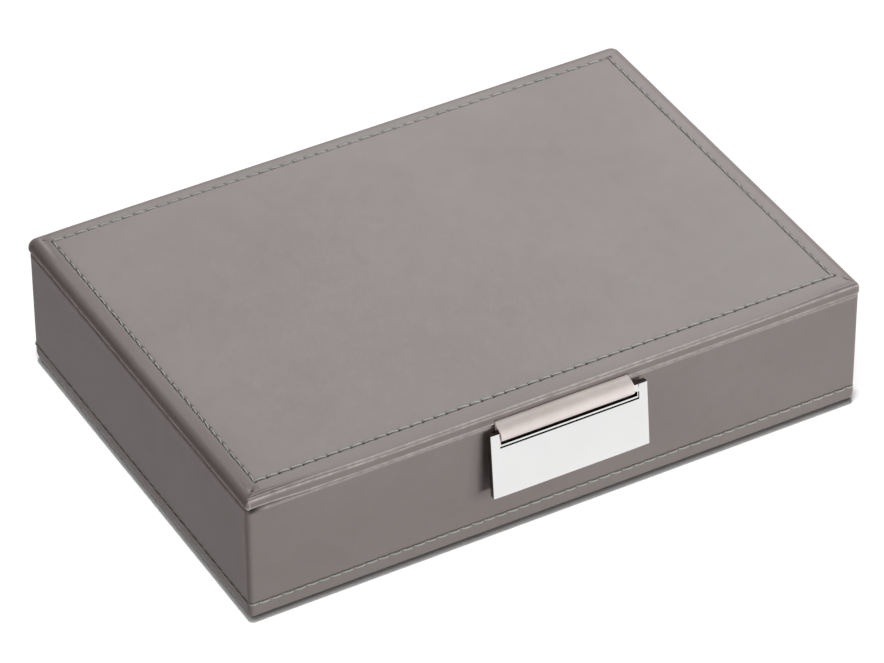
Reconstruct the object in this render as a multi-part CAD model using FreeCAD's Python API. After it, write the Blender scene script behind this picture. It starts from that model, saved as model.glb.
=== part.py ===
import FreeCAD, Part
import os
from FreeCAD import Vector

os.makedirs("parts", exist_ok=True)

# Hinged-lid cufflink box: a board carcass wrapped in leather, lined with
# velvet, divided into small compartments, with a metal pull plate hung on a
# leather tab. Millimetres. +X to the right along the front, +Y to the back,
# +Z up. The origin is on the table, under the middle of the box.

# ---------------------------------------------------------------- dimensions
BOX_W = 180.0            # outside width (X)
BOX_D = 125.0            # outside depth (Y)
TOP_Z = 40.4             # top of the lid
FELT_T = 0.8             # felt sheet under the base
SKIN = 0.6               # leather thickness
RIM_Z = 36.4             # top of the base's rim
SEAM = 0.4               # gap between the rim and the closed lid
LID_Z = RIM_Z + SEAM     # underside of the lid
OVERHANG = 0.3           # lid past the base, all round

R_VERT = 3.0             # upright corners, outside
R_FOOT = 3.0             # bottom edge of the base, outside
R_RIM = 1.0              # edge of the rim, outside
R_LID = 2.4              # top edge of the lid, outside
R_LIP = 0.4              # lower edge of the lid, outside

BOARD = 3.0              # wall boards
LID_BOARD = 1.9
FLOOR_BOARD = 2.5        # bottom board
TURN_IN = 12.0           # leather turned in under base and lid
TURN_DOWN_Z = 24.0       # lower end of the leather turned over the rim
FLOOR_LINING = 1.5       # velvet on card
WALL_LINING = 1.0        # velvet on card, over the turned-down leather
LINING_TOP_Z = 32.4
LINER_DROP = 2.0         # lid liner hangs this far below the lid
LINER_GAP = 1.8          # lid liner to the rim's inner face

COLUMNS, ROWS = 5, 3     # compartments
DIVIDER = 2.2
DIVIDER_TOP_Z = 33.0
LAP_CLEAR = 0.1          # total play in each half-lap

STITCH_W = 0.5
STITCH_DEEP = 0.25
STITCH_INSET = 5.6       # left, right and back rows on the lid
STITCH_INSET_F = 5.9     # front row on the lid
STITCH_BASE_Z = 5.8      # row round the base

PLATE_W, PLATE_H, PLATE_T = 45.8, 19.2, 2.0
PLATE_TOP_Z = 35.55      # with the plate upright
BAR_H = 2.2
SLOT_W, SLOT_H = 40.7, 2.4
LIP_T, LIP_LOW, LIP_END = 0.65, 0.4, 0.35   # the slot is this much smaller at the back
PLATE_TILT = 5.5         # degrees the plate stands out from upright at rest
BAR_ROUND = 0.6
TAB_W = 39.0
TAB_T = 0.45             # one layer of the tab round the bar
LOOP_R = 1.32            # inside radius of the tab's loop
TAB_ROOT = 11.9          # how far the tab reaches in under the lid
TAB_DROP = 0.1           # how far its root hangs into the seam
PULL_AXIS_Y = -(BOX_D / 2 + 0.15 + LOOP_R + TAB_T)
PULL_AXIS_Z = PLATE_TOP_Z - BAR_H / 2

HINGE_X = 52.0           # hinge centres, left and right of the middle
HINGE_L = 24.0
KNUCKLE_END = 7.0
KNUCKLE_GAP = 0.2
BARREL_R = 1.0
BARREL_CLEAR = 0.12      # round the knuckles, in the leather and the other leaf
PIN_R = 0.5
BORE_FIXED = 0.52
BORE_RUN = 0.55
HINGE_AXIS_Y = BOX_D / 2 + 0.45          # the barrels stay low behind the lid
HINGE_AXIS_Z = (RIM_Z + LID_Z) / 2

SCREW_X = 7.5            # screws either side of each hinge's middle
SCREW_R = 0.7
SCREW_L = 3.6            # into the wall board
SCREW_L_LID = 2.2        # into the lid board
SCREW_HEAD_R = 1.2
SCREW_HEAD = 0.48

# ------------------------------------------------------------ derived levels
HW, HD = BOX_W / 2, BOX_D / 2
FOOT_Z = FELT_T
FLOOR_Z = FOOT_Z + SKIN                  # underside of the bottom board
WALL_Z = FLOOR_Z + FLOOR_BOARD           # foot of the wall boards
WALL_TOP = RIM_Z - SKIN
DECK_Z = WALL_Z + FLOOR_LINING           # floor of the compartments
EX, EY = HW - OVERHANG, HD - OVERHANG    # outside of the base's leather
CX, CY = EX - SKIN, EY - SKIN            # outside of the base's boards
BX, BY = CX - BOARD, CY - BOARD          # inside of the boards
TX, TY = BX - SKIN, BY - SKIN            # inside of the turned-down leather
IX, IY = TX - WALL_LINING, TY - WALL_LINING   # inside of the lining
LEAF_Y = TY                              # front edge of the hinge leaves
SCREW_Y = CY - BOARD / 2


def box(x0, x1, y0, y1, z0, z1):
    return Part.makeBox(x1 - x0, y1 - y0, z1 - z0, Vector(x0, y0, z0))


def centred(hx, hy, z0, z1):
    return box(-hx, hx, -hy, hy, z0, z1)


def upright(edge):
    a, b = [v.Point for v in edge.Vertexes[:2]] if len(edge.Vertexes) > 1 else (None, None)
    return a is not None and abs(a.x - b.x) < 1e-6 and abs(a.y - b.y) < 1e-6


def at_level(edge, z):
    return all(abs(v.Point.z - z) < 1e-6 for v in edge.Vertexes)


def block(hx, hy, z0, z1, corner, foot=0.0, top=0.0):
    """A box with rounded upright corners and rounded bottom and top edges."""
    s = centred(hx, hy, z0, z1)
    s = s.makeFillet(corner, [e for e in s.Edges if upright(e)])
    if foot:
        s = s.makeFillet(foot, [e for e in s.Edges if at_level(e, z0)])
    if top:
        s = s.makeFillet(top, [e for e in s.Edges if at_level(e, z1)])
    return s


def cyl_x(r, x0, x1, y, z):
    return Part.makeCylinder(r, x1 - x0, Vector(x0, y, z), Vector(1, 0, 0))


def tidy(shape):
    s = shape.removeSplitter()
    return s if s.isValid() else shape


def one(shape):
    """The single solid of a boolean's result."""
    s = tidy(shape)
    if len(s.Solids) != 1:
        raise RuntimeError("expected one solid, got %d" % len(s.Solids))
    return s.Solids[0]


nodes = {}

# --------------------------------------------------------------------- base
base_outer = block(EX, EY, FOOT_Z, RIM_Z, R_VERT, R_FOOT, R_RIM)
base_core = block(CX, CY, FLOOR_Z, WALL_TOP, R_VERT - SKIN, R_FOOT - SKIN)

hinge_spots = [-HINGE_X, HINGE_X]
half_l = HINGE_L / 2


def leaf_recess(x, z0, z1):
    b = box(x - half_l - 0.1, x + half_l + 0.1, LEAF_Y - 0.05, HD + 2, z0, z1)
    return b.fuse(cyl_x(BARREL_R + BARREL_CLEAR, x - half_l - 0.3, x + half_l + 0.3, HINGE_AXIS_Y, HINGE_AXIS_Z))


cover = base_outer.cut(base_core)
band = centred(BX, BY, TURN_DOWN_Z, WALL_TOP).cut(centred(TX, TY, TURN_DOWN_Z - 1, WALL_TOP + 1))
cover = cover.fuse(band)
cover = cover.cut(centred(TX, TY, FLOOR_Z + 1, RIM_Z + 5))
cover = cover.cut(centred(HW - TURN_IN, HD - TURN_IN, FOOT_Z - 1, FLOOR_Z + 0.5))
for x in hinge_spots:
    cover = cover.cut(leaf_recess(x, WALL_TOP, RIM_Z + 1))

# The stitching lies in a shallow groove all the way round the base.
slab = centred(HW + 1, HD + 1, STITCH_BASE_Z - STITCH_W / 2, STITCH_BASE_Z + STITCH_W / 2)
groove_in = block(EX - STITCH_DEEP, EY - STITCH_DEEP, 0, 20, R_VERT - STITCH_DEEP)
base_stitch = base_outer.common(slab).cut(groove_in)
cover = cover.cut(base_stitch)
nodes["base_cover"] = one(cover)
nodes["base_stitching"] = one(base_stitch)

# Felt sheet on the underside, thicker inside the turned-in leather.
felt = block(HW - 3.0, HD - 3.0, 0, FELT_T, 2.5)
felt = felt.fuse(block(HW - TURN_IN - 0.2, HD - TURN_IN - 0.2, 0.2, FLOOR_Z, 2.5))
nodes["base_felt_pad"] = one(felt)

nodes["bottom_board"] = one(base_core.common(centred(HW, HD, 0, WALL_Z)))

walls = {
    "front_wall_board": box(-HW, HW, -HD, -BY, WALL_Z, WALL_TOP),
    "rear_wall_board": box(-HW, HW, BY, HD, WALL_Z, WALL_TOP),
    "left_wall_board": box(-HW, -BX, -BY, BY, WALL_Z, WALL_TOP),
    "right_wall_board": box(BX, HW, -BY, BY, WALL_Z, WALL_TOP),
}
for name, b in walls.items():
    nodes[name] = one(base_core.common(b))

nodes["floor_lining"] = centred(BX - 0.05, BY - 0.05, WALL_Z, DECK_Z)

linings = {
    "front_wall_lining": box(-BX, BX, -BY, -IY, DECK_Z, LINING_TOP_Z),
    "rear_wall_lining": box(-BX, BX, IY, BY, DECK_Z, LINING_TOP_Z),
    "left_wall_lining": box(-BX, -IX, -IY, IY, DECK_Z, LINING_TOP_Z),
    "right_wall_lining": box(IX, BX, -IY, IY, DECK_Z, LINING_TOP_Z),
}
for name, b in linings.items():
    nodes[name] = one(b.cut(nodes["base_cover"]))

# ----------------------------------------------------------------- dividers
col_w = (2 * IX - (COLUMNS - 1) * DIVIDER) / COLUMNS
row_d = (2 * IY - (ROWS - 1) * DIVIDER) / ROWS
cross_x = [-IX + (i + 1) * col_w + (i + 0.5) * DIVIDER for i in range(COLUMNS - 1)]
long_y = [-IY + (i + 1) * row_d + (i + 0.5) * DIVIDER for i in range(ROWS - 1)]
lap_z = (DECK_Z + DIVIDER_TOP_Z) / 2
half_slot = DIVIDER / 2 + LAP_CLEAR / 2

for name, y in zip(("divider_long_front", "divider_long_rear"), long_y):
    d = box(-IX + 0.1, IX - 0.1, y - DIVIDER / 2, y + DIVIDER / 2, DECK_Z, DIVIDER_TOP_Z)
    for x in cross_x:
        d = d.cut(box(x - half_slot, x + half_slot, y - 5, y + 5, lap_z, DIVIDER_TOP_Z + 1))
    nodes[name] = one(d)

for i, x in enumerate(cross_x):
    d = box(x - DIVIDER / 2, x + DIVIDER / 2, -IY + 0.1, IY - 0.1, DECK_Z, DIVIDER_TOP_Z)
    for y in long_y:
        d = d.cut(box(x - 5, x + 5, y - half_slot, y + half_slot, DECK_Z - 1, lap_z))
    nodes["divider_cross_%d" % (i + 1)] = one(d)

# ---------------------------------------------------------------------- lid
lid_outer = block(HW, HD, LID_Z, TOP_Z, R_VERT, R_LIP, R_LID)
lid_core = block(HW - SKIN, HD - SKIN, LID_Z + SKIN, TOP_Z - SKIN, R_VERT - SKIN, 0.0, R_LID - SKIN)
board_z = LID_Z + SKIN
foam_z = board_z + LID_BOARD             # thin foam fills the rest under the leather

lid_cover = lid_outer.cut(lid_core)
lid_cover = lid_cover.cut(centred(HW - TURN_IN, HD - TURN_IN, LID_Z - 1, board_z + 0.3))
tab_hx = TAB_W / 2
root_y = -HD + TAB_ROOT
lid_cover = lid_cover.cut(box(-tab_hx - 0.1, tab_hx + 0.1, -HD - 1, root_y + 0.1, LID_Z - 1, board_z))
for x in hinge_spots:
    lid_cover = lid_cover.cut(leaf_recess(x, LID_Z - 1, board_z))

sx, sy0, sy1 = HW - STITCH_INSET, -HD + STITCH_INSET_F, HD - STITCH_INSET
w = STITCH_W / 2
lid_stitch = box(-sx - w, sx + w, sy0 - w, sy1 + w, TOP_Z - STITCH_DEEP, TOP_Z).cut(
    box(-sx + w, sx - w, sy0 + w, sy1 - w, TOP_Z - 1, TOP_Z + 1))
lid_cover = lid_cover.cut(lid_stitch)
nodes["lid_cover"] = one(lid_cover)
nodes["lid_stitching"] = one(lid_stitch)
nodes["lid_board"] = one(lid_core.common(centred(HW, HD, board_z, foam_z)))
nodes["lid_foam"] = one(lid_core.common(centred(HW, HD, foam_z, TOP_Z)))

# Velvet panel under the lid, with its middle filling the turned-in opening.
lx, ly = TX - LINER_GAP, TY - LINER_GAP
liner = block(lx, ly, LID_Z - LINER_DROP, LID_Z, 1.5, 0.5)
liner = liner.fuse(centred(HW - TURN_IN - 0.2, HD - TURN_IN - 0.2, LID_Z - 0.5, board_z))
nodes["lid_liner"] = one(liner)

# ------------------------------------------------------------------- hinges


def screw(x, y, z, up, length):
    """Countersunk screw, head flush at z, point going up or down."""
    d = 1 if up else -1
    head = Part.makeCone(SCREW_HEAD_R, SCREW_R, SCREW_HEAD, Vector(x, y, z), Vector(0, 0, d))
    tip = length - 0.9
    shank = Part.makeCylinder(SCREW_R, tip, Vector(x, y, z), Vector(0, 0, d))
    point = Part.makeCone(SCREW_R, 0.15, 0.9, Vector(x, y, z + d * tip), Vector(0, 0, d))
    s = head.fuse(shank).fuse(point)
    zc = z if up else z - 0.28
    s = s.cut(box(x - 0.85, x + 0.85, y - 0.15, y + 0.15, zc, zc + 0.28))
    s = s.cut(box(x - 0.15, x + 0.15, y - 0.85, y + 0.85, zc, zc + 0.28))
    return one(s)


def screw_hole(x, y, z, up, length, clear=0.03):
    d = 1 if up else -1
    head = Part.makeCone(SCREW_HEAD_R + clear, SCREW_R + clear, SCREW_HEAD, Vector(x, y, z), Vector(0, 0, d))
    bore = Part.makeCylinder(SCREW_R + clear, length + 0.1, Vector(x, y, z - d * 0.05), Vector(0, 0, d))
    return head.fuse(bore)


screws_base, screws_lid = [], []
for side, hx in (("left", -HINGE_X), ("right", HINGE_X)):
    ay, az = HINGE_AXIS_Y, HINGE_AXIS_Z
    x0, x1 = hx - half_l, hx + half_l
    mid0, mid1 = x0 + KNUCKLE_END + KNUCKLE_GAP, x1 - KNUCKLE_END - KNUCKLE_GAP
    flush_y = HD - 0.1

    leaf = box(x0, x1, LEAF_Y, flush_y, WALL_TOP, RIM_Z)
    for a, b in ((x0, x0 + KNUCKLE_END), (x1 - KNUCKLE_END, x1)):
        leaf = leaf.fuse(box(a, b, flush_y - 0.5, ay, WALL_TOP, RIM_Z))
        leaf = leaf.fuse(cyl_x(BARREL_R, a, b, ay, az))
    leaf = leaf.cut(cyl_x(BARREL_R + BARREL_CLEAR, mid0 - KNUCKLE_GAP, mid1 + KNUCKLE_GAP, ay, az))
    leaf = leaf.cut(cyl_x(BORE_FIXED, x0 - 1, x1 + 1, ay, az))

    lid_leaf = box(x0, x1, LEAF_Y, flush_y, LID_Z, board_z)
    for a, b in ((x0 - 1, x0 + KNUCKLE_END + KNUCKLE_GAP), (x1 - KNUCKLE_END - KNUCKLE_GAP, x1 + 1)):
        lid_leaf = lid_leaf.cut(cyl_x(BARREL_R + BARREL_CLEAR, a, b, ay, az))
    lid_leaf = lid_leaf.fuse(box(mid0, mid1, flush_y - 0.5, ay, LID_Z, board_z))
    lid_leaf = lid_leaf.fuse(cyl_x(BARREL_R, mid0, mid1, ay, az))
    lid_leaf = lid_leaf.cut(cyl_x(BORE_RUN, x0 - 1, x1 + 1, ay, az))

    for s in (-1, 1):
        x = hx + s * SCREW_X
        screws_base.append(screw(x, SCREW_Y, RIM_Z, False, SCREW_L))
        screws_lid.append(screw(x, SCREW_Y, LID_Z, True, SCREW_L_LID))
        down = screw_hole(x, SCREW_Y, RIM_Z, False, SCREW_L)
        upw = screw_hole(x, SCREW_Y, LID_Z, True, SCREW_L_LID)
        leaf = leaf.cut(down)
        lid_leaf = lid_leaf.cut(upw)
        nodes["rear_wall_board"] = one(nodes["rear_wall_board"].cut(down))
        nodes["lid_board"] = one(nodes["lid_board"].cut(upw))
    nodes["hinge_%s_base_leaf" % side] = one(leaf)
    nodes["hinge_%s_lid_leaf" % side] = one(lid_leaf)

    pin = cyl_x(PIN_R, x0, x1, ay, az)
    pin = pin.makeFillet(0.12, [e for e in pin.Edges if isinstance(e.Curve, Part.Circle)])
    nodes["hinge_%s_pin" % side] = one(pin)

nodes["hinge_screws_base"] = Part.makeCompound(screws_base)
nodes["hinge_screws_lid"] = Part.makeCompound(screws_lid)

# --------------------------------------------------------------------- pull
# The tab is a strip folded round the plate's top bar, with both ends held
# flat between the lid board and the lid liner.
ya, za = PULL_AXIS_Y, PULL_AXIS_Z
r_out = LOOP_R + TAB_T
root_z = LID_Z - TAB_DROP
liner_y = -(TY - LINER_GAP)
profile = [(ya, za + r_out), (-HD - 0.05, board_z - 0.25), (-HD + 1.0, board_z),
           (root_y, board_z), (root_y, LID_Z), (liner_y - 0.6, LID_Z), (liner_y - 1.2, root_z),
           (ya + r_out - 0.1, root_z), (ya, za)]
pts = [Vector(-tab_hx, y, z) for y, z in profile]
strip = Part.Face(Part.makePolygon(pts + [pts[0]])).extrude(Vector(TAB_W, 0, 0))
tab = strip.fuse(cyl_x(r_out, -tab_hx, tab_hx, ya, za))
tab = tab.cut(cyl_x(LOOP_R, -tab_hx - 1, tab_hx + 1, ya, za))
nodes["pull_tab"] = one(tab)

py0, py1 = ya - PLATE_T / 2, ya + PLATE_T / 2
pz0 = PLATE_TOP_Z - PLATE_H
plate = box(-PLATE_W / 2, PLATE_W / 2, py0, py1, pz0, PLATE_TOP_Z)
outline = [e for e in plate.Edges
           if all(abs(v.Point.y - py0) < 1e-6 for v in e.Vertexes)
           or all(abs(v.Point.y - py1) < 1e-6 for v in e.Vertexes)]
plate = plate.makeFillet(0.25, outline)
slot_z1 = PLATE_TOP_Z - BAR_H
slot_z0 = slot_z1 - SLOT_H
plate = plate.cut(box(-SLOT_W / 2, SLOT_W / 2, py0 - 1, py1 - LIP_T, slot_z0, PLATE_TOP_Z + 1))
lip_hx = SLOT_W / 2 - LIP_END
plate = plate.cut(box(-lip_hx, lip_hx, py0 - 1, py1 + 1, slot_z0 + LIP_LOW, PLATE_TOP_Z + 1))
bar = box(-SLOT_W / 2 - 0.3, SLOT_W / 2 + 0.3, py0, py1, slot_z1, PLATE_TOP_Z)
bar = bar.makeFillet(BAR_ROUND, [e for e in bar.Edges
                                 if abs(e.Vertexes[0].Point.x - e.Vertexes[1].Point.x) > 1])
plate = plate.fuse(bar)
plate.rotate(Vector(0, ya, za), Vector(-1, 0, 0), PLATE_TILT)
nodes["pull_plate"] = one(plate)

# -------------------------------------------------------------------- write
whole = Part.makeCompound(list(nodes.values()))
for name in sorted(nodes):
    s = nodes[name]
    if not s.isValid():
        raise RuntimeError(name + " isn't valid")
    s.exportStep("parts/%s.step" % name)
    b = s.BoundBox
    print("%-24s solids %d  vol %9.1f  x %7.2f %7.2f  y %7.2f %7.2f  z %6.2f %6.2f" % (
        name, len(s.Solids), s.Volume, b.XMin, b.XMax, b.YMin, b.YMax, b.ZMin, b.ZMax))
b = whole.BoundBox
print("nodes", len(nodes), "size %.2f x %.2f x %.2f" % (b.XLength, b.YLength, b.ZLength),
      "y %.3f %.3f" % (b.YMin, b.YMax))
print("hinge axis y %.3f z %.3f   pull axis y %.3f z %.3f" % (
    HINGE_AXIS_Y, HINGE_AXIS_Z, PULL_AXIS_Y, PULL_AXIS_Z))
print("compartment %.2f x %.2f, floor %.2f" % (col_w, row_d, DECK_Z))
print("cross x", ["%.3f" % v for v in cross_x], "long y", ["%.3f" % v for v in long_y])
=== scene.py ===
import bpy, bmesh, math
import numpy as np
from mathutils import Matrix, Vector, noise


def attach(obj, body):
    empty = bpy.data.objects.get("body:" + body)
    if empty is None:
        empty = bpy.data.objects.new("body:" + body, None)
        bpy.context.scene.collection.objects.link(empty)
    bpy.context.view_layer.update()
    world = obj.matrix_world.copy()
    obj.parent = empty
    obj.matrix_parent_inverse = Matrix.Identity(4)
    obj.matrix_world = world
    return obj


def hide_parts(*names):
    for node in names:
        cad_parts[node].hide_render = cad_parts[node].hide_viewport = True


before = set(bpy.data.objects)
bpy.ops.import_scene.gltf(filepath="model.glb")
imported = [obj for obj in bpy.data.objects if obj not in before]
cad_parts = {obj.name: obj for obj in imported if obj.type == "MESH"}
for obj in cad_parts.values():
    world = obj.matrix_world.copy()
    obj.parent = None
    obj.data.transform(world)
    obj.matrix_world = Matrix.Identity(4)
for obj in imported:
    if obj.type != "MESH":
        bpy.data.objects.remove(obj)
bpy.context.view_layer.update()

scene = bpy.context.scene
scene.view_settings.view_transform = "Standard"

# All lengths below are millimetres; mesh_object() turns them into metres.
HW, HD, TOP = 90.0, 62.5, 40.4
LID_Z, RIM_Z = 36.8, 36.4
EX, EY = 89.7, 62.2                  # outside of the base's leather
R_V = 3.0
GRID_IN = 4.4                        # the lid's edge roll starts this far in
SX, SY0, SY1 = 84.4, -56.6, 56.9     # stitch rows on the lid
SZ = 6.2                             # stitch row round the base
TAB_HX = 19.5
AX_Y, AX_Z = -64.42, 34.45           # the pull plate's axis
TILT = math.radians(5.5)
PLATE_SHIFT = 0.65                   # the plate has slid a little in the tab's loop
ASKEW = 0.0                          # hangs level, so that it turns freely in the loop

# ------------------------------------------------------------------ helpers


def smooth(a, b, x):
    t = np.clip((np.asarray(x, float) - a) / (b - a), 0, 1)
    return t * t * (3 - 2 * t)


def gauss(x, s):
    return np.exp(-0.5 * (np.asarray(x, float) / s) ** 2)


def wobble(p, size, seed=0.0):
    """Smooth noise in -1..1 at points p (N,3) with features of about size."""
    q = np.asarray(p, float) / size
    return np.array([noise.noise(Vector((a + seed, b - seed, c + 2 * seed))) for a, b, c in q])


def mesh_object(name, verts, faces, attrs=None, merge=0.0, smooth_shade=True):
    me = bpy.data.meshes.new(name)
    me.from_pydata((np.asarray(verts, float) * 0.001).tolist(), [], [tuple(map(int, f)) for f in faces])
    for key, val in (attrs or {}).items():
        a = me.attributes.new(key, "FLOAT", "POINT")
        a.data.foreach_set("value", np.asarray(val, np.float32))
    bm = bmesh.new()
    bm.from_mesh(me)
    if merge:
        bmesh.ops.remove_doubles(bm, verts=bm.verts, dist=merge * 0.001)
    bmesh.ops.dissolve_degenerate(bm, edges=bm.edges, dist=1e-9)
    bmesh.ops.recalc_face_normals(bm, faces=bm.faces)
    bm.to_mesh(me)
    bm.free()
    me.update()
    if smooth_shade:
        me.polygons.foreach_set("use_smooth", [True] * len(me.polygons))
    ob = bpy.data.objects.new(name, me)
    scene.collection.objects.link(ob)
    return ob


def ring_faces(a, b, n):
    """Quads between two closed rings of n points that start at indices a and b."""
    i = np.arange(n)
    j = (i + 1) % n
    return np.stack([a + i, a + j, b + j, b + i], 1).tolist()


def sharpen(ob, degrees=38):
    """Edges sharper than this stay crisp, the rest is smooth."""
    bm = bmesh.new()
    bm.from_mesh(ob.data)
    for e in bm.edges:
        if len(e.link_faces) == 2:
            e.smooth = e.calc_face_angle(0) < math.radians(degrees)
    bm.to_mesh(ob.data)
    bm.free()


def finish_piece(ob, material, body, slot, *nodes):
    ob.data.materials.clear()
    ob.data.materials.append(material)
    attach(ob, body)
    if nodes:
        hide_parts(*nodes)
    return ob


# ---------------------------------------------------------------- materials


class Mat:
    """A node material with a Principled shader and object coordinates."""

    def __init__(self, name):
        self.m = bpy.data.materials.new(name)
        self.m.use_nodes = True
        self.nt = self.m.node_tree
        self.nt.nodes.clear()
        self.out = self.nt.nodes.new("ShaderNodeOutputMaterial")
        self.p = self.nt.nodes.new("ShaderNodeBsdfPrincipled")
        self.link(self.p.outputs[0], self.out.inputs[0])
        self.co = self.nt.nodes.new("ShaderNodeTexCoord").outputs["Object"]

    def link(self, a, b):
        self.nt.links.new(a, b)

    def node(self, kind, **kw):
        n = self.nt.nodes.new(kind)
        for k, v in kw.items():
            setattr(n, k, v)
        return n

    def noise(self, scale, detail=2.0, rough=0.5, stretch=None, distortion=0.0):
        n = self.node("ShaderNodeTexNoise")
        n.inputs["Scale"].default_value = scale
        n.inputs["Detail"].default_value = detail
        n.inputs["Roughness"].default_value = rough
        n.inputs["Distortion"].default_value = distortion
        self.link(self.stretched(stretch), n.inputs["Vector"])
        return n.outputs[0]

    def stretched(self, stretch):
        if not stretch:
            return self.co
        s = self.node("ShaderNodeMapping")
        s.inputs["Scale"].default_value = stretch
        self.link(self.co, s.inputs["Vector"])
        return s.outputs[0]

    def voronoi(self, scale, feature="F1", stretch=None):
        n = self.node("ShaderNodeTexVoronoi", feature=feature)
        n.inputs["Scale"].default_value = scale
        self.link(self.stretched(stretch), n.inputs["Vector"])
        return n.outputs[0]

    def attr(self, name):
        return self.node("ShaderNodeAttribute", attribute_name=name).outputs["Fac"]

    def ramp(self, fac, stops):
        n = self.node("ShaderNodeValToRGB")
        e = n.color_ramp.elements
        while len(e) < len(stops):
            e.new(0.5)
        for el, (pos, c) in zip(e, stops):
            el.position = pos
            el.color = (*c, 1) if len(c) == 3 else c
        self.link(fac, n.inputs[0])
        return n.outputs[0]

    def remap(self, fac, a, b, lo, hi):
        n = self.node("ShaderNodeMapRange")
        for i, v in enumerate((a, b, lo, hi)):
            n.inputs[i + 1].default_value = v
        self.link(fac, n.inputs[0])
        return n.outputs[0]

    def math(self, op, a, b):
        n = self.node("ShaderNodeMath", operation=op)
        for i, v in enumerate((a, b)):
            if isinstance(v, (int, float)):
                n.inputs[i].default_value = v
            else:
                self.link(v, n.inputs[i])
        return n.outputs[0]

    def mix(self, fac, a, b, kind="MIX"):
        n = self.node("ShaderNodeMix", data_type="RGBA", blend_type=kind)
        if isinstance(fac, (int, float)):
            n.inputs["Factor"].default_value = fac
        else:
            self.link(fac, n.inputs["Factor"])
        for i, v in ((6, a), (7, b)):
            if isinstance(v, tuple):
                n.inputs[i].default_value = (*v, 1)
            else:
                self.link(v, n.inputs[i])
        return n.outputs[2]

    def bump(self, height, distance, strength=1.0, normal=None):
        n = self.node("ShaderNodeBump")
        n.inputs["Strength"].default_value = strength
        n.inputs["Distance"].default_value = distance
        self.link(height, n.inputs["Height"])
        if normal is not None:
            self.link(normal, n.inputs["Normal"])
        return n.outputs[0]

    def set(self, **kw):
        names = {"color": "Base Color", "rough": "Roughness", "metal": "Metallic", "normal": "Normal",
                 "spec": "Specular IOR Level", "sheen": "Sheen Weight", "sheen_rough": "Sheen Roughness",
                 "sheen_tint": "Sheen Tint", "coat": "Coat Weight", "coat_rough": "Coat Roughness"}
        for k, v in kw.items():
            s = self.p.inputs[names[k]]
            if isinstance(v, (int, float)):
                s.default_value = v
            elif isinstance(v, tuple):
                s.default_value = (*v, 1)
            else:
                self.link(v, s)
        return self.m


def leather_material(name, dark, light, worn_and_highlight_colour, grain=1.0, rough=0.46):
    m = Mat(name)
    cloud = m.noise(22, 3, 0.55)
    mottle = m.noise(260, 3, 0.6)
    fine = m.noise(1500, 2, 0.6)
    f = m.math("ADD", m.math("MULTIPLY", cloud, 0.62), m.math("MULTIPLY", mottle, 0.26))
    f = m.math("ADD", f, m.math("MULTIPLY", fine, 0.12))
    base = m.ramp(f, [(0.36, dark), (0.64, light)])
    # Paler leather: partly burnished wear where it is folded hard, partly a painted highlight along creases, beads
    # and edges; broken up along the fold.
    streak = m.remap(m.noise(420, 4, 0.7), 0.34, 0.62, 0.25, 1.0)
    wear_and_painted_highlight = m.math("MULTIPLY", m.attr("wear_and_painted_highlight"), streak)
    col = m.mix(wear_and_painted_highlight, base, worn_and_highlight_colour)
    # Painted shade: needle holes, a shadow line beside each seam's thread and the gap under the lid's lifted corner
    # are darkened, and the specular is lowered there too.
    col = m.mix(m.attr("shade"), col, tuple(v * 0.16 for v in dark))
    pores = m.voronoi(2300)
    creases = m.voronoi(1250, "DISTANCE_TO_EDGE")
    h = m.math("ADD", m.math("MULTIPLY", m.math("MINIMUM", creases, 0.12), 2.2), m.math("MULTIPLY", pores, 0.35))
    h = m.math("ADD", h, m.math("MULTIPLY", fine, 0.5))
    n1 = m.bump(h, 0.00003 * grain, 0.55)
    n2 = m.bump(m.noise(190, 2, 0.5), 0.00009, 0.35, n1)
    r = m.remap(m.math("ADD", m.math("MULTIPLY", mottle, 0.5), m.math("MULTIPLY", fine, 0.5)), 0.3, 0.7, rough - 0.05, rough + 0.06)
    r = m.math("SUBTRACT", r, m.math("MULTIPLY", wear_and_painted_highlight, 0.10))
    return m.set(color=col, rough=r, normal=n2, spec=m.remap(m.attr("shade"), 0.0, 1.0, 0.22, 0.02))


# The last colour is the pale colour for both wear and painted highlight.
TAUPE = leather_material("taupe_leather", (0.205, 0.176, 0.169), (0.232, 0.203, 0.195), (0.50, 0.465, 0.45))
CREAM = leather_material("cream_leather", (0.74, 0.665, 0.63), (0.86, 0.785, 0.745), (0.88, 0.83, 0.80), 1.2, 0.66)


def thread_material():
    m = Mat("thread")
    fibre = m.noise(5200, 3, 0.6)
    f = m.math("ADD", m.math("MULTIPLY", fibre, 0.7), m.math("MULTIPLY", m.noise(160, 2), 0.3))
    col = m.ramp(f, [(0.34, (0.33, 0.345, 0.31)), (0.66, (0.48, 0.50, 0.455))])
    return m.set(color=col, rough=m.remap(fibre, 0.3, 0.7, 0.48, 0.66), normal=m.bump(fibre, 0.00004, 0.6),
                 sheen=0.25, sheen_rough=0.4)


def velvet_material(name, dark, light):
    """Short pile: brushed patches, tufts and a soft sheen."""
    m = Mat(name)
    brushed = m.noise(70, 3, 0.6, distortion=0.6)
    tuft = m.noise(2400, 2, 0.7)
    pile = m.noise(7000, 1, 0.7)
    f = m.math("ADD", m.math("MULTIPLY", brushed, 0.55), m.math("ADD", m.math("MULTIPLY", tuft, 0.30), m.math("MULTIPLY", pile, 0.15)))
    col = m.ramp(f, [(0.36, dark), (0.64, light)])
    n = m.bump(m.math("ADD", tuft, m.math("MULTIPLY", pile, 0.6)), 0.00014, 0.8)
    n = m.bump(brushed, 0.0004, 0.25, n)
    return m.set(color=col, rough=m.remap(brushed, 0.3, 0.7, 0.82, 0.95), normal=n, sheen=0.7,
                 sheen_rough=0.35, sheen_tint=(0.82, 0.80, 0.78), spec=0.25)


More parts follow.
